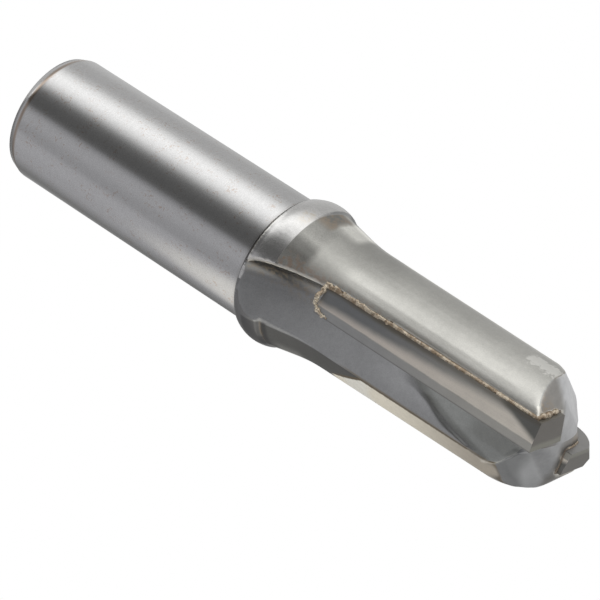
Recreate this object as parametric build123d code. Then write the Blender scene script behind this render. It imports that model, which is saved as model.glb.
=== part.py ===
"""Two-flute straight router bit: ground steel shank, turned collar, fluted body,
two brazed carbide tips.

Frame: the origin is the centre of the flat shank end, +Z runs along the axis to
the cutting end, and the cutting edge of tip 1 lies on +X.  The bit turns from +X
towards +Y.  Lengths are in millimetres, angles in degrees.
"""
import math
import os

from build123d import *

# ---- driving dimensions -------------------------------------------------------------
overall_length = 63.5
cutting_length = 25.4
cutting_diameter = 12.7
shank_diameter = 12.7
shank_length = 29.35

# shank end
end_chamfer_depth = 0.4
end_chamfer_length = 0.9

# collar, the stretch of full bar size between the shank and the fluted body
shoulder_radius = 6.85
shoulder_rise = 0.45
crown_radius = 7.22
crown_place = 1.4
collar_end_radius = 7.07
collar_length = 3.35

# lobes, each turned about its own axis, which is moved a little towards its tip
lobe_start_radius = 6.88
lobe_neck_radius = 6.02
lobe_tip_radius = 5.84
lobe_offset = 0.20
lobe_offset_angle = -20.0
neck_length = 4.5
neck_blend_radius = 15.0
lobe_split_angle = 18.0

# carbide tips
hook_angle = 10.0
tip_thickness = 2.45
tip_width = 4.76
tip_back_radius = 6.18
land_radius = 6.29
land_angle = 6.8
end_relief_angle = 10.0
braze_gap = 0.12
bead_radius = 0.20

# corner broken away on tip 2, along its edge, along its end and through its thickness
worn_length = 2.90
worn_width = 2.20
worn_depth = 2.70
worn_taper = 0.30
worn_bulge = 0.48

# flutes
heel_angle = 37.0
heel_radius = 5.88
floor_tilt = -7.0
flute_corner_radius = 2.0
runout_radius = 26.0
runout_tilt = 30.0
runout_start = 41.0
runout_arc = 34.0

# shallow flat that the face grinding left in each flute floor, as places on the floor
gash_start = 47.2
gash_middle = 51.9
gash_middle_reach = 2.55
gash_end = 59.5
gash_end_reach = 4.15
gash_depth = 0.22

# ground faces on the steel at the cutting end
facet_drop = (1.03, 0.50)
facet_angle = (39.0, 34.0)
web_direction = -125.0
web_top_width = 3.7
web_top_drop = 0.72
web_angle = 38.8
web_length = 3.25
web_blend_radius = 4.0
heel_face_angle = 70.0
heel_blend_radius = 2.0

# ---- derived values -----------------------------------------------------------------
cutting_radius = cutting_diameter / 2
shank_radius = shank_diameter / 2
tip_start = overall_length - cutting_length
collar_end = shank_length + collar_length
neck_end = collar_end + neck_length
seat_depth = tip_thickness + braze_gap
reach = cutting_diameter
over = 0.5 * cutting_radius
edge = Vector(cutting_radius, 0)


def direction(angle):
    """Unit vector at an angle from +X in the cross-section."""
    return Vector(math.cos(math.radians(angle)), math.sin(math.radians(angle)))


inward = direction(180 + hook_angle)
backward = direction(hook_angle - 90)


def from_edge(depth, back):
    """Point of the cross-section at a depth along the rake face and a distance behind it."""
    return edge + inward * depth + backward * back


def on_circle(radius, back):
    """Depth along the rake face at which a line behind it meets a circle round the axis."""
    foot = edge + backward * back
    along = -foot.dot(inward)
    return along - math.sqrt(along**2 - foot.length**2 + radius**2)


def face_through(points):
    """Face on a closed outline of straight sides."""
    return make_face(Polyline(*points, close=True))


def half_turn(shape):
    """The same shape on the other side of the axis."""
    return Rot(Z=180) * shape


def keep_below(shape, heading, slope, radius, height):
    """Grind a flat that falls towards a heading and passes a height at a radius."""
    heading_vector = direction(heading)
    normal = heading_vector * math.sin(math.radians(slope)) + Vector(0, 0, math.cos(math.radians(slope)))
    spot = heading_vector * radius + Vector(0, 0, height)
    flat = Plane(origin=spot, z_dir=normal)
    return split(shape, bisect_by=flat, keep=Keep.BOTTOM)


# ---- steel body ---------------------------------------------------------------------
def shank_and_collar():
    """Ground shank with its chamfered end, and the rounded collar above it."""
    shoulder = (shoulder_radius, shank_length + shoulder_rise)
    crown = (crown_radius, shank_length + crown_place)
    collar_top = (collar_end_radius, collar_end)
    outline = Polyline(
        collar_top,
        (0, collar_end),
        (0, 0),
        (shank_radius - end_chamfer_depth, 0),
        (shank_radius, end_chamfer_length),
        (shank_radius, shank_length),
        shoulder,
    )
    outline += ThreePointArc(shoulder, crown, collar_top)
    return revolve(Plane.XZ * make_face(outline), Axis.Z)


def lobe():
    """Body behind tip 1, from inside the collar to the cutting end."""
    start = shank_length + shoulder_rise
    outline = Polyline(
        (0, start),
        (lobe_start_radius, start),
        (lobe_start_radius, collar_end),
        (lobe_neck_radius, neck_end),
        (lobe_tip_radius, overall_length),
        (0, overall_length),
        close=True,
    )
    profile = make_face(outline)
    neck = profile.vertices().sort_by_distance(Vector(lobe_neck_radius, neck_end))[0]
    profile = fillet(neck, neck_blend_radius)
    shift = direction(lobe_offset_angle) * lobe_offset
    turned = Pos(shift.X, shift.Y) * revolve(Plane.XZ * profile, Axis.Z)
    half = Box(2 * reach, reach, 2 * overall_length, align=(Align.CENTER, Align.MAX, Align.MIN))
    return turned & (Rot(Z=lobe_split_angle) * half)


def flute_section():
    """Cross-section of the flute: seat wall, rounded corner and floor out to the heel."""
    floor_normal = direction(floor_tilt)
    floor_run = direction(floor_tilt + 90)
    floor_height = heel_radius * math.cos(math.radians(heel_angle - floor_tilt))
    wall_top = from_edge(-reach / 2, seat_depth)
    drop = (wall_top.dot(floor_normal) - floor_height) / -inward.dot(floor_normal)
    foot = wall_top + inward * drop
    heel_side = foot + floor_run * 2 * reach
    corners = [wall_top, foot, heel_side, heel_side + floor_normal * reach, wall_top + floor_normal * over]
    section = face_through(corners)
    return fillet(section.vertices().sort_by_distance(foot)[0], flute_corner_radius)


def flute():
    """Groove in front of tip 1, straight to the cutting end, rising in an arc at the collar."""
    section = Pos(0, 0, runout_start) * flute_section()
    groove = extrude(section, overall_length - runout_start + over, dir=(0, 0, 1))
    floor_height = heel_radius * math.cos(math.radians(heel_angle - floor_tilt))
    centre = direction(runout_tilt) * (floor_height + runout_radius) + Vector(0, 0, runout_start)
    spindle = Axis(centre, direction(runout_tilt + 90))
    return groove + revolve(section, spindle, -runout_arc)


def gash():
    """Shallow flat in the flute floor, from the foot of the rake face out towards the heel."""
    floor_height = heel_radius * math.cos(math.radians(heel_angle - floor_tilt))
    floor = Plane(
        origin=direction(floor_tilt) * (floor_height - gash_depth),
        x_dir=direction(floor_tilt + 90),
        z_dir=direction(floor_tilt),
    )
    rise = floor.y_dir.Z
    root = -tip_width / 2
    outline = Polyline(
        (gash_end_reach, rise * gash_end),
        (gash_end_reach + over, rise * (overall_length + over)),
        (root, rise * (overall_length + over)),
        (root, rise * gash_start),
        (0, rise * gash_start),
    )
    outline += ThreePointArc(
        (0, rise * gash_start),
        (gash_middle_reach, rise * gash_middle),
        (gash_end_reach, rise * gash_end),
    )
    ground = extrude(floor * make_face(outline), over)
    return split(ground, bisect_by=Plane(origin=edge, z_dir=backward), keep=Keep.BOTTOM)


def end_grind():
    """Material above the web and the heels: a narrow top, a slope and a steep heel each side."""
    top = overall_length - web_top_drop
    shoulder_x = web_top_width / 2
    heel_x = shoulder_x + web_length
    heel_z = top - web_length * math.tan(math.radians(web_angle))
    foot_x = heel_x + cutting_radius
    foot_z = heel_z - cutting_radius * math.tan(math.radians(heel_face_angle))
    ridge = [(-foot_x, foot_z), (-heel_x, heel_z), (-shoulder_x, top)]
    ridge += [(shoulder_x, top), (heel_x, heel_z), (foot_x, foot_z)]
    sky = overall_length + over
    profile = face_through(ridge + [(foot_x, sky), (-foot_x, sky)])
    for x, z, radius in (
        (shoulder_x, top, web_blend_radius),
        (heel_x, heel_z, heel_blend_radius),
    ):
        for side in (-1, 1):
            corner = profile.vertices().sort_by_distance((side * x, z, 0))[0]
            profile = fillet(corner, radius)
    across = direction(web_direction)
    plane = Plane(origin=(0, 0, 0), x_dir=across, z_dir=across.cross(Vector(0, 0, 1)))
    return extrude(plane * profile, reach, both=True)


def grind_end(steel):
    """Clearance flats behind both tips, then the rounded end of the web."""
    seat_distance = edge.dot(backward) + seat_depth
    for side in range(2):
        heading = hook_angle - 90 + 180 * side
        height = overall_length - facet_drop[side]
        steel = keep_below(steel, heading, facet_angle[side], seat_distance, height)
    return steel - end_grind()


def seat():
    """Slot that holds tip 1 and its film of braze."""
    outline = face_through(
        [
            from_edge(-reach / 2, seat_depth),
            from_edge(tip_width + braze_gap, seat_depth),
            from_edge(tip_width + braze_gap, -braze_gap),
            from_edge(-reach / 2, -braze_gap),
        ]
    )
    bottom = tip_start - braze_gap
    return extrude(Pos(0, 0, bottom) * outline, overall_length - bottom + over, dir=(0, 0, 1))


# ---- carbide tips -------------------------------------------------------------------
def tip():
    """Carbide plate with a narrow land, a wider clearance face and a relieved end."""
    outline = face_through(
        [
            edge,
            from_edge(tip_width, 0),
            from_edge(tip_width, tip_thickness),
            from_edge(on_circle(tip_back_radius, tip_thickness), tip_thickness),
            direction(-land_angle) * land_radius,
        ]
    )
    plate = extrude(Pos(0, 0, tip_start) * outline, cutting_length, dir=(0, 0, 1))
    rake_distance = edge.dot(backward)
    return keep_below(plate, hook_angle - 90, end_relief_angle, rake_distance, overall_length)


def worn_corner():
    """Piece missing from the leading outer corner of a worn tip."""
    rake = Plane(origin=edge + Vector(0, 0, overall_length), x_dir=inward, z_dir=backward)
    up = rake.y_dir.Z
    chord = math.hypot(worn_width, worn_length)
    middle = Vector(worn_width / 2, -up * worn_length / 2)
    bulge = Vector(-worn_length, up * worn_width) * (worn_bulge / chord)
    arc = ThreePointArc((0, -up * worn_length), middle + bulge, (worn_width, 0))
    sides = Polyline((worn_width, 0), (worn_width, up * over), (-over, up * over))
    sides += Polyline((-over, up * over), (-over, -up * worn_length), (0, -up * worn_length))
    front = rake * make_face(arc + sides)
    rear = rake.offset(worn_depth) * scale(make_face(arc + sides), worn_taper)
    return loft([front, rear], ruled=True)


# ---- braze --------------------------------------------------------------------------
def bead():
    """Round bead of braze along the seam between tip 1 and the lobe."""
    seam_depth = on_circle(tip_back_radius, seat_depth)
    seam = from_edge(seam_depth + bead_radius, tip_thickness + braze_gap / 2)
    height = cutting_length - facet_drop[0] - bead_radius
    return Pos(seam.X, seam.Y, tip_start - braze_gap) * Cylinder(
        bead_radius, height, align=(Align.CENTER, Align.CENTER, Align.MIN)
    )


# ---- build --------------------------------------------------------------------------
def build():
    """All pieces of the bit by name."""
    blank = shank_and_collar() + lobe() + half_turn(lobe())
    cutter = flute() + gash()
    blank -= cutter
    blank -= half_turn(cutter)
    blank = grind_end(blank)
    slot = seat()
    steel = blank - slot - half_turn(slot)
    tips = [tip(), half_turn(tip() - worn_corner())]
    pieces = {"steel_body": steel}
    for number, (plate, pocket, seam) in enumerate(
        zip(tips, (slot, half_turn(slot)), (bead(), half_turn(bead()))), start=1
    ):
        film = (blank & pocket) + (seam - steel)
        pieces[f"carbide_tip_{number}"] = plate
        pieces[f"braze_{number}"] = film - plate
    return pieces


if __name__ == "__main__":
    os.makedirs("parts", exist_ok=True)
    for name, shape in build().items():
        export_step(shape, f"parts/{name}.step")
        print(name, len(shape.solids()), round(shape.volume, 3))
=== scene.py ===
import math

import bmesh
import bpy
import numpy as np
from mathutils import Matrix, Vector


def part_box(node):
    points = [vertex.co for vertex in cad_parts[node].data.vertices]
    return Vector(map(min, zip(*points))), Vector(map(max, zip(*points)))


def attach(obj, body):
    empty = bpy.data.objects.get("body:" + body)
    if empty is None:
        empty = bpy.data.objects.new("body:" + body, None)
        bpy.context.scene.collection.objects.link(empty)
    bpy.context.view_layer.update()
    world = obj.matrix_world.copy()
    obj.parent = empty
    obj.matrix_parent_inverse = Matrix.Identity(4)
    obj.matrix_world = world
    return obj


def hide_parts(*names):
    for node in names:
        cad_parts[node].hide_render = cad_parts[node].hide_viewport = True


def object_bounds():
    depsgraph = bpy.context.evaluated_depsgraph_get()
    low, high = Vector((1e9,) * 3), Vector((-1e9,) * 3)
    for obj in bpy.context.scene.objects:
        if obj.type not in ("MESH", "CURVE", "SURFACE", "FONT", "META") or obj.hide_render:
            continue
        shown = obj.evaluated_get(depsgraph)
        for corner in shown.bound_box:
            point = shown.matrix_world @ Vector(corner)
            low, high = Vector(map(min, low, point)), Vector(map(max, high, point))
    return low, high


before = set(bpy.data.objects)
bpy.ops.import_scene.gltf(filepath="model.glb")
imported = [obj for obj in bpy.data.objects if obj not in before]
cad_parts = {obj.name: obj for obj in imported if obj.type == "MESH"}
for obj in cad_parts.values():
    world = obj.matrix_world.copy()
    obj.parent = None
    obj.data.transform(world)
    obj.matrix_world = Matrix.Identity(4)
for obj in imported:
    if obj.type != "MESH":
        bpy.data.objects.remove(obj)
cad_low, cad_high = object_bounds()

MM = 0.001
DEGREE = math.pi / 180


def heading(angle, z=0.0):
    """Level direction at an angle from +X, or one raised by z."""
    return Vector((math.cos(angle), math.sin(angle), z))


# ---- camera -------------------------------------------------------------------------
VIEW_POINT = 29.28 * MM              # height on the bit's axis that the camera is set out from
VIEW_DISTANCE = 400.0 * MM
VIEW_RISE = math.radians(28.309)     # how far the cutting end leans towards the camera
VIEW_ROLL = math.radians(33.143)     # how far the axis runs downhill in the frame
VIEW_TURN = math.radians(-20.0)      # heading of the side that faces the camera
VIEW_LEFT = 1.774 * MM               # how far left of the frame's middle the view point lies
VIEW_HIGH = 3.442 * MM               # how far above the frame's middle it lies
FRAME_PIXELS = 600
FOCAL_PIXELS = 4356.7
SENSOR = 36.0
CLIP_START = 0.01
CLIP_END = 20.0
AXIS = Vector((0, 0, 1))
NEAR = heading(VIEW_TURN)                        # level, towards the camera
UPPER_RIGHT = heading(VIEW_TURN - math.pi / 2)   # level, towards the upper right of the frame


def make_camera():
    back = NEAR * math.cos(VIEW_RISE) + AXIS * math.sin(VIEW_RISE)
    across = AXIS * math.cos(VIEW_RISE) - NEAR * math.sin(VIEW_RISE)
    right = UPPER_RIGHT * math.sin(VIEW_ROLL) + across * math.cos(VIEW_ROLL)
    up = UPPER_RIGHT * math.cos(VIEW_ROLL) - across * math.sin(VIEW_ROLL)
    place = AXIS * VIEW_POINT + back * VIEW_DISTANCE + right * VIEW_LEFT - up * VIEW_HIGH
    data = bpy.data.cameras.new("camera")
    data.sensor_width = SENSOR
    data.sensor_fit = "HORIZONTAL"
    data.lens = SENSOR * FOCAL_PIXELS / FRAME_PIXELS
    data.clip_start = CLIP_START
    data.clip_end = CLIP_END
    camera = bpy.data.objects.new("camera", data)
    turn = Matrix((right, up, back)).transposed().to_4x4()
    camera.matrix_world = Matrix.Translation(place) @ turn
    bpy.context.scene.collection.objects.link(camera)
    bpy.context.scene.camera = camera


# ---- shader kit ---------------------------------------------------------------------
class Value:
    """One output of a node; arithmetic on it adds Math nodes."""

    def __init__(self, graph, socket):
        self.graph = graph
        self.socket = socket

    def _math(self, operation, *terms):
        return self.graph.node("ShaderNodeMath", {"operation": operation}, dict(enumerate(terms)))

    def __add__(self, other):
        return self._math("ADD", self, other)

    def __radd__(self, other):
        return self._math("ADD", other, self)

    def __sub__(self, other):
        return self._math("SUBTRACT", self, other)

    def __rsub__(self, other):
        return self._math("SUBTRACT", other, self)

    def __mul__(self, other):
        return self._math("MULTIPLY", self, other)

    def __rmul__(self, other):
        return self._math("MULTIPLY", other, self)

    def __truediv__(self, other):
        return self._math("DIVIDE", self, other)

    def maximum(self, other):
        return self._math("MAXIMUM", self, other)

    def root(self):
        return self._math("SQRT", self)

    def sign(self):
        return self._math("SIGN", self)


def solid(colour):
    """A colour socket's value for a plain colour; the output of a node stays as it is."""
    return (*colour, 1.0) if isinstance(colour, tuple) else colour


class Graph:
    """Builds the nodes of one material or of the world."""

    def __init__(self, tree):
        tree.nodes.clear()
        self.tree = tree

    def node(self, kind, settings=None, inputs=None, output=0):
        """A new node with its settings and inputs, and the Value of one of its outputs."""
        made = self.tree.nodes.new(kind)
        for name, setting in (settings or {}).items():
            if name == "stops":
                self.set_stops(made.color_ramp.elements, setting)
            else:
                setattr(made, name, setting)
        for name, value in (inputs or {}).items():
            if isinstance(value, Value):
                self.tree.links.new(value.socket, made.inputs[name])
            else:
                made.inputs[name].default_value = value
        return Value(self, made.outputs[output]) if made.outputs else None

    def set_stops(self, ramp, stops):
        first, *others = stops
        ramp.remove(ramp[1])
        ramp[0].position = first[0]
        ramp[0].color = solid(first[1])
        for position, colour in others:
            ramp.new(position).color = solid(colour)

    def step(self, value, low, high):
        """0 below low, 1 above high, smooth between; falls instead where high is under low."""
        if high < low:
            return 1.0 - self.step(value, high, low)
        return self.node(
            "ShaderNodeMapRange",
            {"interpolation_type": "SMOOTHSTEP"},
            {"Value": value, "From Min": low, "From Max": high},
        )

    def band(self, value, low, high, soft):
        """1 from low to high, 0 outside them, each edge soft to both sides."""
        return self.step(value, low - soft, low + soft) * self.step(value, high + soft, high - soft)

    def mix(self, factor, first, second):
        """The first colour where the factor is 0, the second where it is 1."""
        inputs = {0: factor, 6: solid(first), 7: solid(second)}
        return self.node("ShaderNodeMix", {"data_type": "RGBA"}, inputs, 2)

    def mix_value(self, factor, first, second):
        return self.node("ShaderNodeMix", {"data_type": "FLOAT"}, {0: factor, 2: first, 3: second})

    def tone(self, colour, strength):
        """A colour made darker or lighter by a value."""
        grey = self.node("ShaderNodeCombineColor", None, {0: strength, 1: strength, 2: strength})
        settings = {"data_type": "RGBA", "blend_type": "MULTIPLY"}
        return self.node("ShaderNodeMix", settings, {0: 1.0, 6: solid(colour), 7: grey}, 2)

    def noise(self, vector, scale, rough, detail=3.0):
        inputs = {"Vector": vector, "Scale": scale, "Detail": detail, "Roughness": rough}
        return self.node("ShaderNodeTexNoise", None, inputs)

    def pattern(self, vector, scale, rough):
        """Noise that swings about 0."""
        return self.noise(vector, scale, rough) - 0.5

    def bump(self, height, strength, distance):
        inputs = {"Height": height, "Strength": strength, "Distance": distance}
        return self.node("ShaderNodeBump", None, inputs)

    def vector(self, x, y, z):
        return self.node("ShaderNodeCombineXYZ", None, {0: x, 1: y, 2: z})

    def parts(self, vector):
        split = self.tree.nodes.new("ShaderNodeSeparateXYZ")
        self.tree.links.new(vector.socket, split.inputs[0])
        return [Value(self, out) for out in split.outputs]

    def angle(self, y, x):
        return self.node("ShaderNodeMath", {"operation": "ARCTAN2"}, {0: y, 1: x})

    def seen(self):
        """1 for what the camera looks at, straight or through a clear thing, 0 for other light."""
        path = self.tree.nodes.new("ShaderNodeLightPath").outputs
        return Value(self, path["Is Camera Ray"]).maximum(Value(self, path["Is Transmission Ray"]))


def new_material(name):
    material = bpy.data.materials.new(name)
    material.use_nodes = True
    return material, Graph(material.node_tree)


def surface(graph, colour, rough, normal, metallic):
    inputs = {"Base Color": colour, "Roughness": rough, "Normal": normal, "Metallic": metallic}
    shader = graph.node("ShaderNodeBsdfPrincipled", None, inputs)
    graph.node("ShaderNodeOutputMaterial", None, {"Surface": shader})


# ---- places on the bit, in millimetres ----------------------------------------------
def in_mm(length):
    """A length of the frame in millimetres, without the rounding of its mesh."""
    return round(length / MM, 3)


tip_low, tip_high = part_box("carbide_tip_1")
LENGTH = in_mm(cad_high[2])
CUT_RADIUS = in_mm(tip_high[0])
TIP_START = in_mm(tip_low[2])
SHANK_RADIUS = 6.35
COLLAR_START = 29.35
COLLAR_END = 32.7
COLLAR_CROWN = 6.8                   # radius beyond which the collar is whole all round
LOBE_HEEL = -143.5                   # degrees round one half at the lobe's heel and at its seat
LOBE_SEAT = -18.0
HOOK = math.radians(10.0)            # how far the rake face leans from a radius
FLOOR_TILT = math.radians(-7.0)      # heading that the flute floor faces
FLUTE_MIDDLE = math.radians(20.0)    # heading of the middle of tip 1's flute
GASH_EDGE = 47.2, 0.55, 0.58         # height of the flat's edge at no run, its slope and its bend
STRIP_WHOLE = 44.4                   # height from which the painted-highlight strip on the heel has its whole width
STRIP_POINT = 5.5                    # degrees that it narrows for each millimetre below that
LAND_WIDTH = 0.74
SEAT_DEPTH = 2.57                    # from the rake face back to the wall of the tip's seat
TIP_BACK_RADIUS = 6.18               # radius at the back edge of the carbide


class Places:
    """Places of a surface point, turned so that both halves of the bit read alike."""

    def __init__(self, graph):
        coordinates = graph.tree.nodes.new("ShaderNodeTexCoord")
        point = Value(graph, coordinates.outputs["Object"])
        scaled = {0: point, "Scale": 1 / MM}
        self.point = graph.node("ShaderNodeVectorMath", {"operation": "SCALE"}, scaled)
        self.x, self.y, self.z = graph.parts(self.point)
        nx, ny, self.nz = graph.parts(Value(graph, coordinates.outputs["Normal"]))
        self.radius = (self.x * self.x + self.y * self.y).root()
        self.outward = (nx * self.x + ny * self.y) / self.radius
        self.around = graph.angle(self.y, self.x) / DEGREE
        # distance behind the rake face of the nearer tip, and depth in from its cutting edge
        raw_behind = self.x * math.sin(HOOK) - self.y * math.cos(HOOK)
        raw_depth = self.x * math.cos(HOOK) + self.y * math.sin(HOOK)
        side = raw_behind.sign()
        self.behind = raw_behind * side - CUT_RADIUS * math.sin(HOOK)
        self.depth = CUT_RADIUS * math.cos(HOOK) - raw_depth * side
        # degrees round one half of the bit, from -170 past the lobe's heel to 10 before its tip
        self.turn = graph.angle(self.y * side, self.x * side) / DEGREE
        # run across the flute floor, from the foot of the rake face to the heel
        flute = (self.x * math.cos(FLUTE_MIDDLE) + self.y * math.sin(FLUTE_MIDDLE)).sign()
        self.run = (self.y * math.cos(FLOOR_TILT) - self.x * math.sin(FLOOR_TILT)) * flute

    def towards(self, degrees):
        """Distance from the axis towards a heading."""
        angle = math.radians(degrees)
        return self.x * math.cos(angle) + self.y * math.sin(angle)


# ---- shapes -------------------------------------------------------------------------
WELD = 1e-6                          # points of a CAD mesh nearer than this are one, in metres
CUT_TOLERANCE = 1e-7
HEAD_VOXEL = 0.16 * MM
EDGE_ROUNDS = 3                      # rounds of smoothing: everywhere, flute floors, cutting end
FLOOR_ROUNDS = 145
END_ROUNDS = 30
FLOOR_RIM = 5.5                      # the flute floors are smoothed inside this radius
SCOOP_END = 33.0                     # and from this height on
RAKE_GAP = 0.5                       # and this far in front of the rake faces
END_START = 58.5                     # the cutting end is smoothed from this height on,
SEAT_CLEAR = 3.1                     # in front of the rake faces and from this far behind them
SHANK_FACETS = 256
SHANK_OUTLINE = [                    # (radius, z) from the butt up to inside the collar
    (0.0, 0.0), (5.86, 0.0), (5.95, 0.012), (6.03, 0.07), (6.29, 0.80), (6.335, 0.92),
    (SHANK_RADIUS, 1.06), (SHANK_RADIUS, 29.36), (6.31, 29.41), (5.6, 29.48), (2.5, 30.2),
    (0.0, 30.2),
]
STANDOUT_UNIT = 0.02 * MM
STANDOUT_ROUNDS = 3
STEEL_CREASE = math.radians(40)


def section_point(depth, behind, z):
    """Point beside tip 1 at a depth along its rake face and a distance behind it, in metres."""
    inward = heading(math.pi + HOOK)
    backward = heading(HOOK - math.pi / 2)
    spot = Vector((CUT_RADIUS, 0, 0)) + inward * depth + backward * behind
    return Vector((spot.x, spot.y, z)) * MM


def depth_on_circle(radius, behind):
    """Depth at which a line behind the rake face of tip 1 meets a circle round the axis."""
    foot = section_point(0, behind, 0) / MM
    along = -foot.dot(heading(math.pi + HOOK))
    return along - math.sqrt(along**2 - foot.length**2 + radius**2)


def link(name, mesh):
    piece = bpy.data.objects.new(name, mesh)
    bpy.context.scene.collection.objects.link(piece)
    return piece


def discard(piece):
    mesh = piece.data
    bpy.data.objects.remove(piece)
    bpy.data.meshes.remove(mesh)


def settled(piece):
    """The piece with its modifiers worked in, as a new plain object; the old one goes."""
    name = piece.name
    deps = bpy.context.evaluated_depsgraph_get()
    mesh = bpy.data.meshes.new_from_object(piece.evaluated_get(deps))
    discard(piece)
    mesh.name = name
    return link(name, mesh)


def remeshed(piece, voxel):
    cut = piece.modifiers.new("voxels", "REMESH")
    cut.mode = "VOXEL"
    cut.voxel_size = voxel
    return settled(piece)


def joined(first, second):
    """Both pieces as one closed shape under the first one's name; the second one goes."""
    union = first.modifiers.new("union", "BOOLEAN")
    union.operation = "UNION"
    union.solver = "EXACT"
    union.object = second
    whole = settled(first)
    discard(second)
    return whole


def welded(node):
    """A copy of a CAD node's mesh, and the shape of it with its loose triangles tied together."""
    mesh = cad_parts[node].data.copy()
    shape = bmesh.new()
    shape.from_mesh(mesh)
    bmesh.ops.remove_doubles(shape, verts=shape.verts, dist=WELD)
    return mesh, shape


def write_back(shape, mesh):
    shape.to_mesh(mesh)
    shape.free()
    return mesh


class Web:
    """Points of a mesh and the edges that tie them."""

    def __init__(self, mesh):
        self.count = len(mesh.vertices)
        points = np.empty(self.count * 3, np.float64)
        mesh.vertices.foreach_get("co", points)
        self.points = points.reshape(-1, 3)
        edges = np.empty(len(mesh.edges) * 2, np.int64)
        mesh.edges.foreach_get("vertices", edges)
        self.first, self.second = edges.reshape(-1, 2).T
        self.ties = np.bincount(self.first, minlength=self.count)
        self.ties += np.bincount(self.second, minlength=self.count)

    def around(self, values):
        """Mean of each column of values over the neighbours of every point."""
        total = np.empty_like(values)
        for k in range(values.shape[1]):
            total[:, k] = np.bincount(self.first, values[self.second, k], self.count)
            total[:, k] += np.bincount(self.second, values[self.first, k], self.count)
        return total / self.ties[:, None]


def everywhere(points):
    return np.ones(len(points))


def relax(mesh, rounds, share=everywhere):
    """Draws every point halfway to the middle of its neighbours, round by round."""
    web = Web(mesh)
    pull = share(web.points)[:, None] * 0.5
    for _ in range(rounds):
        web.points += (web.around(web.points) - web.points) * pull
    mesh.vertices.foreach_set("co", web.points.ravel())
    mesh.update()


def mark_standout(mesh):
    """Notes for each point how far it stands out from its surroundings, in standout units."""
    web = Web(mesh)
    normals = np.empty(web.count * 3, np.float64)
    mesh.vertices.foreach_get("normal", normals)
    offsets = (web.points - web.around(web.points)) * normals.reshape(-1, 3)
    stand = offsets.sum(axis=1)[:, None] / STANDOUT_UNIT
    for _ in range(STANDOUT_ROUNDS):
        stand = web.around(stand)
    wear = mesh.attributes.new("wear", "FLOAT", "POINT")
    wear.data.foreach_set("value", stand.ravel().astype(np.float32))


def fade(distance, width):
    """0 where the distance is negative, 1 from the width on, even between."""
    return np.clip(distance / width, 0, 1)


def behind_rake(mm):
    """How far points in millimetres lie behind the rake face of the nearer tip."""
    behind = mm[:, 0] * math.sin(HOOK) - mm[:, 1] * math.cos(HOOK)
    return np.abs(behind) - CUT_RADIUS * math.sin(HOOK)


def floor_share(points):
    """1 on the floors of the flutes where the scoop fades out, 0 at the edges of the body."""
    mm = points / MM
    radius = np.hypot(mm[:, 0], mm[:, 1])
    inside = fade(FLOOR_RIM - radius, 0.4) * fade(-RAKE_GAP - behind_rake(mm), 0.5)
    return inside * fade(mm[:, 2] - SCOOP_END, 2.0) * fade(LENGTH - mm[:, 2], 3.0)


def end_share(points):
    """1 on the ground cutting end away from the seats of the tips, 0 elsewhere."""
    mm = points / MM
    behind = behind_rake(mm)
    clear = fade(np.maximum(behind - SEAT_CLEAR, -RAKE_GAP - behind), 0.5)
    return clear * fade(mm[:, 2] - END_START, 1.5)


def make_head():
    """Collar, neck and fluted body with the edges smoothed soft."""
    mesh, shape = welded("steel_body")
    cut = bmesh.ops.bisect_plane(
        shape,
        geom=shape.verts[:] + shape.edges[:] + shape.faces[:],
        dist=CUT_TOLERANCE,
        plane_co=(0, 0, (COLLAR_START - 0.02) * MM),
        plane_no=(0, 0, 1),
        clear_inner=True,
    )
    rim = [e for e in cut["geom_cut"] if isinstance(e, bmesh.types.BMEdge)]
    bmesh.ops.edgeloop_fill(shape, edges=rim)
    bmesh.ops.recalc_face_normals(shape, faces=shape.faces[:])
    head = remeshed(link("head", write_back(shape, mesh)), HEAD_VOXEL)
    relax(head.data, EDGE_ROUNDS)
    relax(head.data, FLOOR_ROUNDS, floor_share)
    relax(head.data, END_ROUNDS, end_share)
    return head


def shank_ring(shape, radius, z):
    """A ring of points round the axis, or one point where the radius is 0."""
    middle = Vector((0, 0, z * MM))
    if radius == 0:
        return [shape.verts.new(middle)]
    turns = [2 * math.pi * k / SHANK_FACETS for k in range(SHANK_FACETS)]
    return [shape.verts.new(heading(turn) * radius * MM + middle) for turn in turns]


def make_shank():
    """Ground shank as a turned shape that runs up inside the collar."""
    shape = bmesh.new()
    rings = [shank_ring(shape, radius, z) for radius, z in SHANK_OUTLINE]
    for low, high in zip(rings, rings[1:]):
        for k in range(SHANK_FACETS):
            after = (k + 1) % SHANK_FACETS
            bottom = [low[k % len(low)], low[after % len(low)]]
            top = [high[after % len(high)], high[k % len(high)]]
            shape.faces.new(list(dict.fromkeys(bottom + top)))
    bmesh.ops.recalc_face_normals(shape, faces=shape.faces[:])
    return link("steel_blank", write_back(shape, bpy.data.meshes.new("shank")))


def make_body():
    body = joined(make_shank(), make_head())
    mark_standout(body.data)
    body.data.shade_smooth()
    body.data.set_sharp_from_angle(angle=STEEL_CREASE)
    return body


# ---- braze lumps --------------------------------------------------------------------
SEAM_START = TIP_START - 0.1
SEAM_END = LENGTH - 1.05
BRAZE_VOXEL = 0.06 * MM
BRAZE_CREASE = math.radians(50)
LUMP_SPACING = 0.15 * MM
LUMP_RADIUS = 0.145 * MM
LUMP_SCATTER = 0.07 * MM
LUMP_SIZES = (0.55, 1.25)            # smallest and largest share of the radius
LUMP_SEED = 11
LUMP_INPUTS = {
    "Geometry": "NodeSocketGeometry",
    "Spacing": "NodeSocketFloat",
    "Lump": "NodeSocketFloat",
    "Scatter": "NodeSocketFloat",
    "Seed": "NodeSocketInt",
    "Finish": "NodeSocketMaterial",
}


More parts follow.
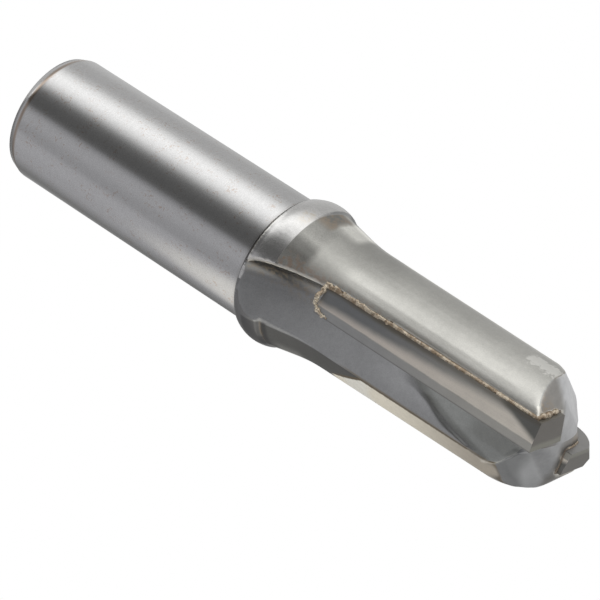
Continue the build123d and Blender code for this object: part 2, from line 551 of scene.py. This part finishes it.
def lump_tree():
    """Node tree that strews rounded lumps along lines, as thick as the lines' own bulk says."""
    tree = bpy.data.node_groups.new("lumps along a line", "GeometryNodeTree")
    for name, kind in LUMP_INPUTS.items():
        tree.interface.new_socket(name, in_out="INPUT", socket_type=kind)
    tree.interface.new_socket("Geometry", in_out="OUTPUT", socket_type="NodeSocketGeometry")

    def add(kind, inputs=None, **settings):
        made = tree.nodes.new(kind)
        for name, setting in settings.items():
            setattr(made, name, setting)
        for name, value in (inputs or {}).items():
            if isinstance(value, bpy.types.NodeSocket):
                tree.links.new(value, made.inputs[name])
            else:
                made.inputs[name].default_value = value
        return made.outputs

    def product(first, second):
        return add("ShaderNodeMath", {0: first, 1: second}, operation="MULTIPLY")[0]

    given = add("NodeGroupInput")
    curve = add("GeometryNodeMeshToCurve", {"Mesh": given["Geometry"]})[0]
    along = {"Curve": curve, "Length": given["Spacing"]}
    spots = add("GeometryNodeResampleCurve", along, mode="LENGTH")[0]
    bulk = add("GeometryNodeInputNamedAttribute", {"Name": "bulk"}, data_type="FLOAT")["Attribute"]

    cube = {0: (-1.0, -1.0, -1.0), 1: (1.0, 1.0, 1.0), "Seed": given["Seed"]}
    shift = add("FunctionNodeRandomValue", cube, data_type="FLOAT_VECTOR")[0]
    scaled = {0: shift, "Scale": product(bulk, given["Scatter"])}
    offset = add("ShaderNodeVectorMath", scaled, operation="SCALE")[0]
    moved = add("GeometryNodeSetPosition", {"Geometry": spots, "Offset": offset})[0]

    smallest, largest = LUMP_SIZES
    sizes = {2: smallest, 3: largest, "Seed": given["Seed"]}
    size = add("FunctionNodeRandomValue", sizes, data_type="FLOAT")[1]
    scale = product(product(size, given["Lump"]), bulk)
    ball = add("GeometryNodeMeshIcoSphere", {"Radius": 1.0, "Subdivisions": 2})[0]
    strewing = {"Points": moved, "Instance": ball, "Scale": scale}
    strewn = add("GeometryNodeInstanceOnPoints", strewing)[0]
    whole = add("GeometryNodeRealizeInstances", {"Geometry": strewn})[0]
    finished = {"Geometry": whole, "Material": given["Finish"]}
    add("NodeGroupOutput", {"Geometry": add("GeometryNodeSetMaterial", finished)[0]})
    return tree


def seam_lines():
    """Lines that the braze follows beside tip 1, each point as (depth, behind, z, bulk)."""
    seam = depth_on_circle(TIP_BACK_RADIUS, SEAT_DEPTH) + 0.10
    back = SEAT_DEPTH - 0.06
    seam_line = [
        (0.06, 0.95, SEAM_START - 0.02, 1.5),
        (0.25, 1.6, SEAM_START - 0.05, 1.6),
        (seam, back, SEAM_START - 0.05, 1.5),
        (seam, back, 41.0, 1.3),
        (seam, back, 47.0, 1.25),
        (seam, back, 51.0, 1.05),
        (seam, back, SEAM_END - 0.6, 0.95),
        (seam + 0.25, back + 0.10, SEAM_END + 0.02, 1.3),
        (2.6, back + 0.16, SEAM_END, 2.1),
        (4.3, back + 0.10, SEAM_END - 0.05, 1.3),
    ]
    drip = [
        (0.06, 0.55, SEAM_START + 0.10, 1.5),
        (0.02, 0.30, 38.7, 1.4),
        (0.0, 0.15, 39.5, 1.1),
    ]
    foot = [(1.2, 0.1, SEAM_START - 0.02, 1.0), (0.35, 0.55, SEAM_START - 0.02, 1.2)]
    return [seam_line, drip, foot]


def line_mesh(number):
    """The seam lines of one tip as loose edges, with the bulk of each point as an attribute."""
    half = Matrix.Rotation(math.pi * (number - 1), 4, "Z")
    points, edges, bulk = [], [], []
    for line in seam_lines():
        for k, (depth, behind, z, thickness) in enumerate(line):
            if k:
                edges.append((len(points) - 1, len(points)))
            points.append(half @ section_point(depth, behind, z))
            bulk.append(thickness)
    mesh = bpy.data.meshes.new("lines")
    mesh.from_pydata(points, edges, [])
    mesh.attributes.new("bulk", "FLOAT", "POINT").data.foreach_set("value", bulk)
    return mesh


def make_lumps(number, tree, finish):
    lumps = link(f"lumps_{number}", line_mesh(number))
    strew = lumps.modifiers.new("lumps", "NODES")
    strew.node_group = tree
    values = {
        "Spacing": LUMP_SPACING,
        "Lump": LUMP_RADIUS,
        "Scatter": LUMP_SCATTER,
        "Seed": LUMP_SEED * number,
        "Finish": finish,
    }
    for item in tree.interface.items_tree:
        if item.in_out == "INPUT" and item.name in values:
            strew[item.identifier] = values[item.name]
    lumps = remeshed(settled(lumps), BRAZE_VOXEL)
    relax(lumps.data, EDGE_ROUNDS)
    return lumps


def make_braze(number, tree, finish):
    """Film of one seam with the lumps that ran out along it, as one closed shape."""
    lumps = make_lumps(number, tree, finish)
    mesh, shape = welded(f"braze_{number}")
    braze = joined(link(f"braze_run_{number}", write_back(shape, mesh)), lumps)
    braze.data.shade_smooth()
    braze.data.set_sharp_from_angle(angle=BRAZE_CREASE)
    return braze


# ---- steel --------------------------------------------------------------------------
# Colours as (red, green, blue).
GROUND_GREY = (1.0, 0.996, 0.99)
BLASTED_GREEN = (1.0, 0.988, 0.925)
TURNED_GREY = (1.0, 0.99, 0.97)
FLOOR_GREY = (0.995, 1.0, 0.99)
FLAT_GREEN = (0.98, 1.0, 0.95)
END_WARM = (1.0, 0.965, 0.915)
END_COLD = (0.985, 0.99, 1.0)
WEB_COLD = (0.97, 0.99, 1.0)
GLINT_CREAM = (1.0, 0.975, 0.87)
HIGHLIGHT_CREAM = (1.0, 0.935, 0.775)
HIGHLIGHT_CREAM_DULL = (0.47, 0.42, 0.345)
GLINT_PALE = (0.80, 0.79, 0.75)
EDGE_HIGHLIGHT_PALE = (0.88, 0.85, 0.77)
HEEL_SHADE = (0.085, 0.086, 0.084)
COLLAR_SHADE = (0.10, 0.10, 0.10)
GASH_SHADE = (0.20, 0.20, 0.185)
RUST_SPECK = (0.36, 0.25, 0.18)
RUST_SPOT = (0.40, 0.31, 0.18)
BUTT_BROWN = (0.27, 0.19, 0.13)
COLLAR_SHADOW_BROWN = (0.16, 0.13, 0.11)
NECK_BROWN = (0.34, 0.27, 0.20)
SEAM_BROWN = (0.40, 0.27, 0.19)
STRIP_BROWN = (0.24, 0.185, 0.11)
FLUTE_BROWN = (0.24, 0.19, 0.13)
END_BROWN = (0.36, 0.27, 0.17)
HOLLOW_SHADE_BROWN = (0.20, 0.16, 0.11)
BUMP_HEIGHT = 0.04 * MM
BUMP_STRENGTH = 0.25


class SteelPlaces(Places):
    """Patterns and zones that the parts of the steel's finish share; a zone is 1 inside."""

    def __init__(self, graph):
        super().__init__(graph)
        g = graph
        self.clouds = g.pattern(self.point, scale=0.45, rough=0.55)
        self.mottle = g.pattern(self.point, scale=2.2, rough=0.6)
        self.grain = g.pattern(self.point, scale=9.0, rough=0.65)
        stretched = g.vector(self.radius * 0.3, self.around * 0.004, self.z * 14.0)
        self.lines = g.pattern(stretched, scale=1.0, rough=0.7)
        self.wear = g.node("ShaderNodeAttribute", {"attribute_name": "wear"}, None, 2)
        self.add_faces(g)
        self.add_heel(g)
        self.add_end(g)

    def add_faces(self, g):
        """Head above the shank, then its blasted lobes, turned collar, ground end and flutes."""
        self.head = g.step(self.z, COLLAR_START - 0.02, COLLAR_START + 0.02)
        above = g.step(self.z, COLLAR_END - 0.05, COLLAR_END + 0.05)
        full_bar = g.step(self.radius, COLLAR_CROWN - 0.04, COLLAR_CROWN + 0.04)
        full_bar = full_bar.maximum(g.step(self.z, 29.9, 29.7))
        lobe_turns = g.band(self.turn, LOBE_HEEL, LOBE_SEAT, 1.0)
        outer = g.step(self.outward, 0.88, 0.94) * g.mix_value(above, full_bar, lobe_turns)
        self.end_face = g.step(self.nz, 0.42, 0.5) * g.step(self.z, 56.0, 57.0)
        self.lobe = above * outer * (1.0 - self.end_face)
        self.collar = self.head * (1.0 - above) * outer
        self.flute = self.head * (1.0 - outer) * (1.0 - self.end_face)
        self.by_seam = g.step(self.turn, -58.0, -38.0) * g.step(self.z, 37.0, 40.0)
        # distance along the axis past the curved edge where the flute's flat starts
        start, slope, bend = GASH_EDGE
        self.past_gash = self.z - (start + slope * self.run + bend * self.run * self.run)
        self.flat = g.step(self.past_gash, -0.2, 0.6)

    def add_heel(self, g):
        """The cream strip of painted highlight along the heel, and the painted shade that it starts
        from.
        """
        pointed = STRIP_POINT * (STRIP_WHOLE - self.z).maximum(0.0)
        self.border = self.turn - pointed + 1.5 * self.mottle
        strip = g.step(self.border, -142.0, -140.6) * g.step(self.turn, -98.0, -116.0)
        self.strip = strip * g.step(self.z, 40.2, 41.0) * self.lobe
        # painted shade on the heel side where the highlight strip is not
        outside_highlight = g.step(self.border, -139.0, -143.0).maximum(g.step(self.z, 41.4, 40.2))
        self.heel = g.step(self.turn, -99.0, -114.0) * outside_highlight
        # painted shade on the heel side of the collar's shoulder
        shoulder_shade = g.band(self.z, 31.0, 33.5, 0.2) * g.step(self.outward, 0.4, 0.55)
        shoulder_shade = shoulder_shade * g.step(self.radius, 5.5, 5.8)
        self.shoulder_shade = shoulder_shade * g.band(self.turn, -145.0, -112.0, 1.0)

    def add_end(self, g):
        """The slopes of the web on the cutting end, and the flute's rim below it."""
        self.slope = g.step(self.nz, 0.86, 0.76)
        self.fall = self.towards(55.0)
        self.web = self.slope * g.step(self.fall, 0.8, 1.8)
        near_end = g.step(self.z, 55.5, 58.0) * g.step(self.radius, 5.9, 5.7)
        self.near_end = near_end * g.step(self.behind, 0.5, 0.0)
        self.rim = self.near_end * (1.0 - self.end_face)


def shank_colour(g, at):
    """Ground shank: fine lines round it, faint brown specks, dark brown at the butt, painted shadow
    at the collar.
    """
    level = 0.52 * (1.0 + 0.16 * at.lines + 0.14 * at.mottle + 0.42 * at.grain)
    colour = g.tone(GROUND_GREY, level)
    specks = g.step(g.noise(at.point, scale=4.0, rough=0.6), 0.53, 0.62)
    clusters = g.step(g.noise(at.point, scale=0.7, rough=0.75, detail=4.0), 0.50, 0.62)
    colour = g.mix(clusters * specks * 0.45, colour, RUST_SPECK)
    colour = g.mix(g.band(at.z, 0.6, 1.0, 0.15) * 0.75, colour, BUTT_BROWN)
    # painted shadow along the foot of the collar
    return g.mix(g.step(at.z, 29.05, 29.3) * 0.15, colour, COLLAR_SHADOW_BROWN)


def lobe_level_with_painted_light(g, at, collar_side, patch):
    """How light the lobes are, mostly painted light: painted shade by the collar and low down, a
    painted highlight on the neck, painted light beside the seam and on the upper side.
    """
    # painted shade by the collar, deepest towards the seam and on one patch
    painted_shade = 0.28 * patch + 0.14 * g.band(at.turn, -67.0, -47.0, 4.0)
    painted_shade = painted_shade + 0.52 * g.band(at.turn, -46.0, -28.0, 4.0) + 0.2 * g.step(at.turn, -31.0, -25.0)
    low = g.step(at.z, 46.5, 39.0) * g.band(at.turn, -100.0, -50.0, 8.0)
    # painted highlight on the neck
    light = g.band(at.z, 34.2, 36.8, 0.5) * g.band(at.turn, -122.0, -76.0, 7.0)
    level = 0.47 * (1.0 - painted_shade * collar_side - 0.26 * low) * (1.0 + 1.1 * light)
    # painted light: lighter beside the seam and on the upper side, a little darker at mid length
    level = level * (1.0 + 0.22 * at.by_seam) * (1.0 - 0.08 * g.band(at.z, 44.0, 52.0, 2.0))
    level = level * (1.0 + 0.14 * g.step(at.turn, -92.0, -100.0))
    grain = (0.45 + 0.35 * collar_side) * at.grain
    return level * (1.0 + 0.20 * at.clouds + 0.20 * at.mottle + grain)


def blasted_colour(g, at):
    """Blasted lobes: green-grey, brown by the collar and along the seam, one pale painted highlight
    near the cutting end, painted shade on the heel.
    """
    collar_side = g.band(at.z - 1.2 * at.clouds, 32.2, 35.2, 0.5)
    patch = g.step(at.turn, -102.0, -94.0) * g.step(at.turn, -62.0, -72.0)
    patch = patch * g.step(at.z - 0.8 * at.clouds, 34.6, 34.0)
    colour = g.tone(BLASTED_GREEN, lobe_level_with_painted_light(g, at, collar_side, patch))
    brown = collar_side * patch * g.step(at.clouds + at.mottle, -0.20, 0.15) * 0.6
    colour = g.mix(brown, colour, NECK_BROWN)
    seam_side = g.step(at.turn, -36.0, -24.0) * g.step(at.z, 62.0, 44.0)
    stain = seam_side * g.step(at.mottle, -0.08, 0.12)
    colour = g.mix(stain * 0.55, colour, SEAM_BROWN)
    # painted highlight: a pale patch that stands in for a reflected light
    sheen_height = g.band(at.z + 1.8 * at.clouds, 57.4, 60.6, 0.2)
    painted_sheen = sheen_height * g.band(at.turn + 26.0 * at.mottle, -86.0, -70.0, 2.5)
    colour = g.mix(painted_sheen * 0.65, colour, GLINT_PALE)
    # painted shade on the heel side of the lobes
    return g.mix(at.heel * 0.8, colour, HEEL_SHADE)


def strip_highlight_colour(g, at):
    """Painted highlight strip on the heel: cream, with a painted glint beside its start, duller to
    the cutting end.
    """
    glint = g.band(at.z + 1.5 * at.clouds, 42.2, 45.4, 0.8)
    colour = g.mix(g.step(at.z, 46.0, 60.0), HIGHLIGHT_CREAM, HIGHLIGHT_CREAM_DULL)
    colour = g.mix(glint, colour, GLINT_CREAM)
    return g.tone(colour, 1.0 + 0.25 * at.mottle + 0.15 * at.grain)


def turned_colour(g, at):
    """Turned collar: painted shade on its heel side, with a rusty spot."""
    level = 0.56 * (1.0 + 0.16 * at.clouds + 0.2 * at.mottle + 0.5 * at.grain)
    colour = g.tone(TURNED_GREY, level)
    # painted shade on the heel side
    colour = g.mix(g.step(at.turn, -108.0, -138.0) * 0.75, colour, COLLAR_SHADE)
    height = g.band(at.z + at.mottle, 31.6, 32.5, 0.4)
    spot = height * g.band(at.turn + 20.0 * at.mottle, -66.0, -54.0, 5.0)
    return g.mix(spot * g.step(at.grain + at.mottle, -0.15, 0.2) * 0.5, colour, RUST_SPOT)


def floor_colour(g, at):
    """Ground flute floor: painted shade in the scoop and on the wall by the collar, lighter along
    the middle, greener on the flat, a band of painted shade past the gash's edge, stained beside the
    seat.
    """
    # painted shade towards the collar, strongest on the wall beside it
    near_collar = g.step(at.z, 42.0, 32.0)
    level = 0.385 * (1.0 - near_collar * (0.46 - 0.22 * g.step(at.run, 0.0, 3.0)))
    level = level * (1.0 + 0.22 * g.band(at.z, 46.0, 56.0, 3.0) * g.band(at.run, 0.5, 3.0, 0.8))
    level = level * (1.0 - 0.75 * g.step(at.z, 37.5, 33.0) * g.step(at.run, 0.3, -0.3))
    level = level * (1.0 + 0.18 * at.clouds + 0.20 * at.mottle + 0.50 * at.grain)
    flat = g.tone(FLAT_GREEN, level * 0.96)
    colour = g.mix(at.flat, g.tone(FLOOR_GREY, level), flat)
    # painted shade in a soft band past the gash's edge
    edge = g.band(at.past_gash + 0.6 * at.mottle, 0.6, 1.4, 1.0) * g.step(at.run, 1.2, 2.2)
    colour = g.mix(edge * 0.22, colour, GASH_SHADE)
    stain = g.step(at.run, 1.2, 0.2) * g.step(at.z, 50.0, 42.0) * g.step(at.mottle, -0.1, 0.15)
    return g.mix(stain * 0.35, colour, FLUTE_BROWN)


def end_colour(g, at):
    """Ground cutting end: warm outside, cold towards the axis, with painted shade on the web's
    slopes and painted light near their top.
    """
    level = 0.36 * (1.0 + 0.3 * at.clouds + 0.3 * at.mottle + 0.2 * at.grain)
    warm = g.tone(END_WARM, level)
    cold_level = (1.0 + 0.4 * at.clouds + 0.3 * at.mottle) * (0.56 + 0.14 * at.slope)
    inner = g.step(at.depth + 0.8 * at.clouds, 5.0, 6.2)
    colour = g.mix(inner, warm, g.tone(END_COLD, cold_level))
    # painted light and shade on the web's slopes: dark, lighter near the top
    height = at.z - 0.47 * at.towards(-20.0)
    upper = g.step(height + 0.5 * at.clouds, 60.2, 61.6)
    web_level = 0.24 + 0.20 * upper * g.step(at.fall + 0.8 * at.clouds, 4.6, 3.8)
    lower = g.tone(WEB_COLD, web_level * (1.0 + 0.4 * at.clouds + 0.3 * at.grain))
    colour = g.mix(at.web, colour, lower)
    by_braze = g.step(at.behind, 4.6, 2.7) * g.step(at.depth, 4.6, 3.2)
    by_braze = by_braze * g.step(at.mottle, -0.15, 0.15)
    return g.mix(by_braze * 0.6, colour, END_BROWN)


def brown_lines(g, at):
    """Thin brown lines along the strip's border and along the edge of the flute floor."""
    by_strip = g.band(at.border, -144.5, -141.5, 1.4) * g.step(at.z, 40.0, 42.0)
    by_strip = by_strip * g.step(at.turn, -108.0, -114.0) * at.lobe
    by_flute = g.step(at.run + 0.1 * at.mottle, 3.80, 4.02) * at.flute
    return by_strip.maximum(by_flute * g.step(at.z, 41.0, 44.0))


def painted_edge_light_and_hollow_shade(g, at, colour):
    """The colour with painted highlights on convex edges, painted shade on the rim's edges by the
    cutting end, and brownish painted shade where the surface is hollow.
    """
    # painted highlight: convex edges made pale
    edges = g.step(at.wear + 0.3 * at.mottle, 0.20, 0.38) * g.step(at.z, 29.9, 30.1)
    dark_heel = at.heel * g.step(at.turn, -112.0, -132.0)
    edges = edges * (1.0 - at.near_end.maximum(dark_heel).maximum(at.shoulder_shade))
    colour = g.mix(edges * 0.48, colour, EDGE_HIGHLIGHT_PALE)
    # painted shade that damps the highlight on the rounded rim by the cutting end
    colour = g.tone(colour, 1.0 - 0.25 * at.near_end * g.step(at.wear, 0.04, 0.25))
    # painted shade in hollows, brownish
    hollow_shade = g.step(at.wear - 0.2 * at.mottle, -0.10, -0.30) * at.head
    hollow_shade = hollow_shade * g.mix_value(g.step(at.z, 30.4, 30.0), 1.0, 0.35)
    hollow_shade = hollow_shade * g.mix_value(at.flute * g.step(at.z, 44.0, 46.0), 1.0, 0.2)
    return g.mix(hollow_shade * 0.5, colour, HOLLOW_SHADE_BROWN)


def steel_roughness(g, at):
    rough = 0.17 + 0.29 * at.lobe + 0.14 * at.flute + 0.2 * at.end_face + 0.05 * at.collar
    rough = rough - 0.14 * at.by_seam * at.lobe + 0.08 * at.grain * at.head
    rough = rough + 0.08 * at.lines * (1.0 - at.head)
    floor = 0.08 * at.flat + 0.2 * g.band(at.past_gash, -0.6, 2.0, 0.7)
    return rough + 0.2 * at.rim + at.flute * floor + 0.2 * at.heel * (at.lobe + at.collar)


def steel_finish():
    material, g = new_material("blasted and ground steel")
    at = SteelPlaces(g)
    colour = g.mix(at.head, shank_colour(g, at), turned_colour(g, at))
    colour = g.mix(at.lobe, colour, blasted_colour(g, at))
    colour = g.mix(at.flute, colour, floor_colour(g, at))
    colour = g.mix(at.end_face, colour, end_colour(g, at))
    # painted shade on the collar's shoulder
    colour = g.mix(at.shoulder_shade * 0.8, colour, COLLAR_SHADE)
    # painted highlight: the cream strip along the heel
    colour = g.mix(at.strip, colour, strip_highlight_colour(g, at))
    colour = g.mix(brown_lines(g, at) * 0.7, colour, STRIP_BROWN)
    colour = painted_edge_light_and_hollow_shade(g, at, colour)
    height = at.grain * at.lobe + 0.25 * at.grain * at.flute + 0.3 * at.mottle * at.end_face
    height = height + 0.02 * at.lines * (1.0 - at.head)
    bump = g.bump(height, BUMP_STRENGTH, BUMP_HEIGHT)
    # the painted-highlight strip, the flute's rim and the web are dulled, so they are less of a
    # mirror
    metal = 1.0 - 0.92 * at.strip - 0.85 * at.rim - 0.7 * at.end_face * at.web
    surface(g, colour, steel_roughness(g, at), bump, metal)
    return material


# ---- carbide ------------------------------------------------------------------------
# A pair holds the colour at the shank end of the tip and the one at its cutting end.
LAND_GREY = (0.33, 0.33, 0.325), (0.43, 0.42, 0.385)
CLEARANCE_REFLECTION_DARK = (0.21, 0.215, 0.22), (0.40, 0.385, 0.355)
CLEARANCE_REFLECTION_PALE = (0.74, 0.675, 0.61), (0.86, 0.80, 0.71)
WEDGE_REFLECTION_DARK = (0.17, 0.17, 0.16)
SEAT_SHADOW = (0.13, 0.11, 0.08)
EDGE_SHADE = (0.14, 0.135, 0.13)
RAKE_GREY = (0.25, 0.245, 0.24)
TOP_DARK = (0.16, 0.15, 0.135)
TOP_GREY = (0.24, 0.235, 0.20)
FOOT_BROWN = (0.25, 0.22, 0.19)


def clearance_colour(g, at, clouds, towards_end):
    """Clearance face: a pale pinkish painted reflection in front, a dark painted reflection behind
    it and in a wedge near the cutting end, painted shadow along the braze.
    """
    # painted reflection: pale in front, dark behind
    painted_sheen = at.behind + 0.35 * clouds - 0.045 * (at.z - 43.0)
    dark = g.mix(towards_end, *CLEARANCE_REFLECTION_DARK)
    pale = g.mix(towards_end, *CLEARANCE_REFLECTION_PALE)
    colour = g.mix(g.step(painted_sheen, 1.60, 0.80), dark, pale)
    # dark painted reflection in a wedge near the cutting end
    wedge = g.step(at.behind + 0.28 * (at.z - 58.4) + 0.1 * clouds, 2.10, 2.65)
    colour = g.mix(wedge * g.step(at.z, 57.5, 59.5), colour, WEDGE_REFLECTION_DARK)
    shadow = g.step(at.behind + 0.25 * clouds, 1.95, 2.35)
    return g.mix(shadow * (0.5 + 0.35 * g.step(at.z, 54.0, 46.0)), colour, SEAT_SHADOW)


def carbide_finish():
    material, g = new_material("ground carbide")
    at = Places(g)
    clouds = g.pattern(at.point, scale=0.6, rough=0.55)
    grain = g.pattern(at.point, scale=11.0, rough=0.6)
    stretched = g.vector(at.behind * 9.0, at.depth * 2.0, at.z * 0.35)
    lines = g.pattern(stretched, scale=1.0, rough=0.6)
    towards_end = g.step(at.z, 42.0, 60.0)

    # the flank from the cutting edge back, then the rake face, the end and the foot
    border = g.step(at.behind + 0.10 * clouds, LAND_WIDTH - 0.05, LAND_WIDTH + 0.10)
    land = g.mix(towards_end, *LAND_GREY)
    colour = g.mix(border, land, clearance_colour(g, at, clouds, towards_end))
    # painted shade along the cutting edge
    colour = g.mix(g.step(at.behind, 0.16, 0.04) * 0.55, colour, EDGE_SHADE)
    colour = g.mix(g.step(at.behind, 0.02, -0.01), colour, RAKE_GREY)
    top = g.mix(g.step(at.behind + 0.3 * clouds, 0.7, 0.3), TOP_DARK, TOP_GREY)
    colour = g.mix(g.step(at.nz, 0.6, 0.8), colour, top)
    colour = g.mix(g.step(at.nz, -0.6, -0.8), colour, FOOT_BROWN)
    colour = g.tone(colour, 1.0 + 0.22 * clouds + 0.14 * lines + 0.25 * grain)
    rough = 0.34 + 0.1 * lines + 0.08 * grain
    bump = g.bump(grain + 0.6 * lines, strength=0.1, distance=0.02 * MM)
    surface(g, colour, rough, bump, metallic=0.4)
    return material


# ---- braze --------------------------------------------------------------------------
BRAZE_BROWN = (0.36, 0.275, 0.19)
BRAZE_TAN = (0.66, 0.575, 0.45)
LEG_BROWN = (0.50, 0.42, 0.30)
LEG_CREAM = (0.86, 0.80, 0.66)
PIT_BROWN = (0.20, 0.15, 0.10)
SOOT_BROWN = (0.15, 0.12, 0.10)


def braze_finish():
    """Brown and tan braze, creamier round the foot of the tip, dark far in from its edge."""
    material, g = new_material("flowed braze")
    at = Places(g)
    blotches = g.noise(at.point, scale=1.6, rough=0.6, detail=4.0)
    grain = g.noise(at.point, scale=6.0, rough=0.65, detail=4.0)
    colour = g.mix(g.step(blotches, 0.42, 0.60), BRAZE_BROWN, BRAZE_TAN)
    leg = g.step(at.z, SEAM_START + 0.9, SEAM_START + 0.3) * g.step(at.behind, 1.9, 1.3)
    cream = g.mix(g.step(grain, 0.40, 0.55), LEG_BROWN, LEG_CREAM)
    colour = g.mix(leg * 0.75, colour, cream)
    colour = g.mix(g.step(grain, 0.50, 0.38) * 0.6, colour, PIT_BROWN)
    colour = g.mix(g.step(at.depth, 4.2, 4.7) * 0.8, colour, SOOT_BROWN)
    bump = g.bump(grain, BUMP_STRENGTH, BUMP_HEIGHT)
    surface(g, colour, 0.30 + 0.25 * grain, bump, metallic=0.5)
    return material


# ---- studio -------------------------------------------------------------------------
WHITE = (1, 1, 1, 1)
# The light round the bit as (degrees, brightness): 0 is the upper right of the frame, and 90 is
# towards the camera.
ROOM_LIGHT = [
    (-180, 0.56), (-160, 0.52), (-130, 0.25), (-110, 0.3), (-90, 0.6), (-49, 0.70),
    (-33, 0.64), (-9, 0.66), (3, 0.86), (11, 1.25), (19, 1.55), (27, 1.70), (36, 1.60),
    (45, 1.30), (52, 0.90), (59, 0.45), (66, 0.22), (75, 0.15), (88, 0.13), (97, 0.15),
    (102, 0.38), (109, 0.54), (122, 0.56), (134, 0.47), (146, 0.45), (154, 0.58),
    (170, 0.60), (180, 0.56),
]
COOL_FROM = 100                      # light beyond these degrees is a little bluer
COOL_UNTIL = -150
COOL_SHARE = 0.04
LAMP_TURN = math.radians(187.0)      # a round warm light at the lower left of the frame
LAMP_RISE = 0.32                     # raised a little towards the cutting end
LAMP_COLOUR = (1.12, 1.10, 1.06)
FLOOR_HALF = 2.0
FLOOR_DROP = 0.1 * MM


def room_stops():
    """Stops of the colour ramp that goes once round the bit."""
    stops = []
    for degrees, level in ROOM_LIGHT:
        cool = 1.0 + COOL_SHARE * (degrees > COOL_FROM or degrees < COOL_UNTIL)
        stops.append(((degrees + 180) / 360, (level, level, level * cool)))
    return stops


def make_world():
    """Soft light that changes round the bit, and one lamp; the camera itself sees white."""
    world = bpy.data.worlds.new("studio")
    world.use_nodes = True
    bpy.context.scene.world = world
    g = Graph(world.node_tree)
    x, y, z = g.parts(g.node("ShaderNodeTexCoord"))
    turn = g.angle(x * NEAR.x + y * NEAR.y, x * UPPER_RIGHT.x + y * UPPER_RIGHT.y)
    share = {"Value": turn, "From Min": -math.pi, "From Max": math.pi}
    place = g.node("ShaderNodeMapRange", None, share)
    light = g.node("ShaderNodeValToRGB", {"stops": room_stops()}, {0: place})
    aim = heading(VIEW_TURN - math.pi / 2 + LAMP_TURN, LAMP_RISE).normalized()
    lamp = g.step(x * aim.x + y * aim.y + z * aim.z, 0.78, 0.94)
    light = g.mix(lamp, light, LAMP_COLOUR)
    room = g.node("ShaderNodeBackground", None, {"Color": light, "Strength": 1.0})
    white = g.node("ShaderNodeBackground", None, {"Color": WHITE, "Strength": 1.0})
    shade = g.node("ShaderNodeMixShader", None, {0: g.seen(), 1: room, 2: white})
    g.node("ShaderNodeOutputWorld", None, {"Surface": shade})


def floor_finish():
    """White to the camera, and clear to all other light, so that the floor throws none back."""
    material, g = new_material("pale floor")
    white = g.node("ShaderNodeEmission", None, {"Color": WHITE, "Strength": 1.0})
    clear = g.node("ShaderNodeBsdfTransparent")
    shade = g.node("ShaderNodeMixShader", None, {0: g.seen(), 1: clear, 2: white})
    g.node("ShaderNodeOutputMaterial", None, {"Surface": shade})
    return material


def make_floor():
    half = FLOOR_HALF
    mesh = bpy.data.meshes.new("floor")
    corners = [(-half, -half, 0), (half, -half, 0), (half, half, 0), (-half, half, 0)]
    mesh.from_pydata(corners, [], [(0, 1, 2, 3)])
    mesh.materials.append(floor_finish())
    floor = link("floor", mesh)
    floor.location.z = -FLOOR_DROP


# ---- the whole scene ----------------------------------------------------------------
def dress(piece, material):
    piece.data.materials.clear()
    piece.data.materials.append(material)


make_camera()
make_world()
make_floor()
bpy.context.scene.view_settings.view_transform = "Standard"
carbide = carbide_finish()
braze = braze_finish()

body = make_body()
dress(body, steel_finish())
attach(body, "root")
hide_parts("steel_body")

lump_lines = lump_tree()
for number in (1, 2):
    dress(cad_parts[f"carbide_tip_{number}"], carbide)
    seam = make_braze(number, lump_lines, braze)
    dress(seam, braze)
    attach(seam, "root")
    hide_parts(f"braze_{number}")
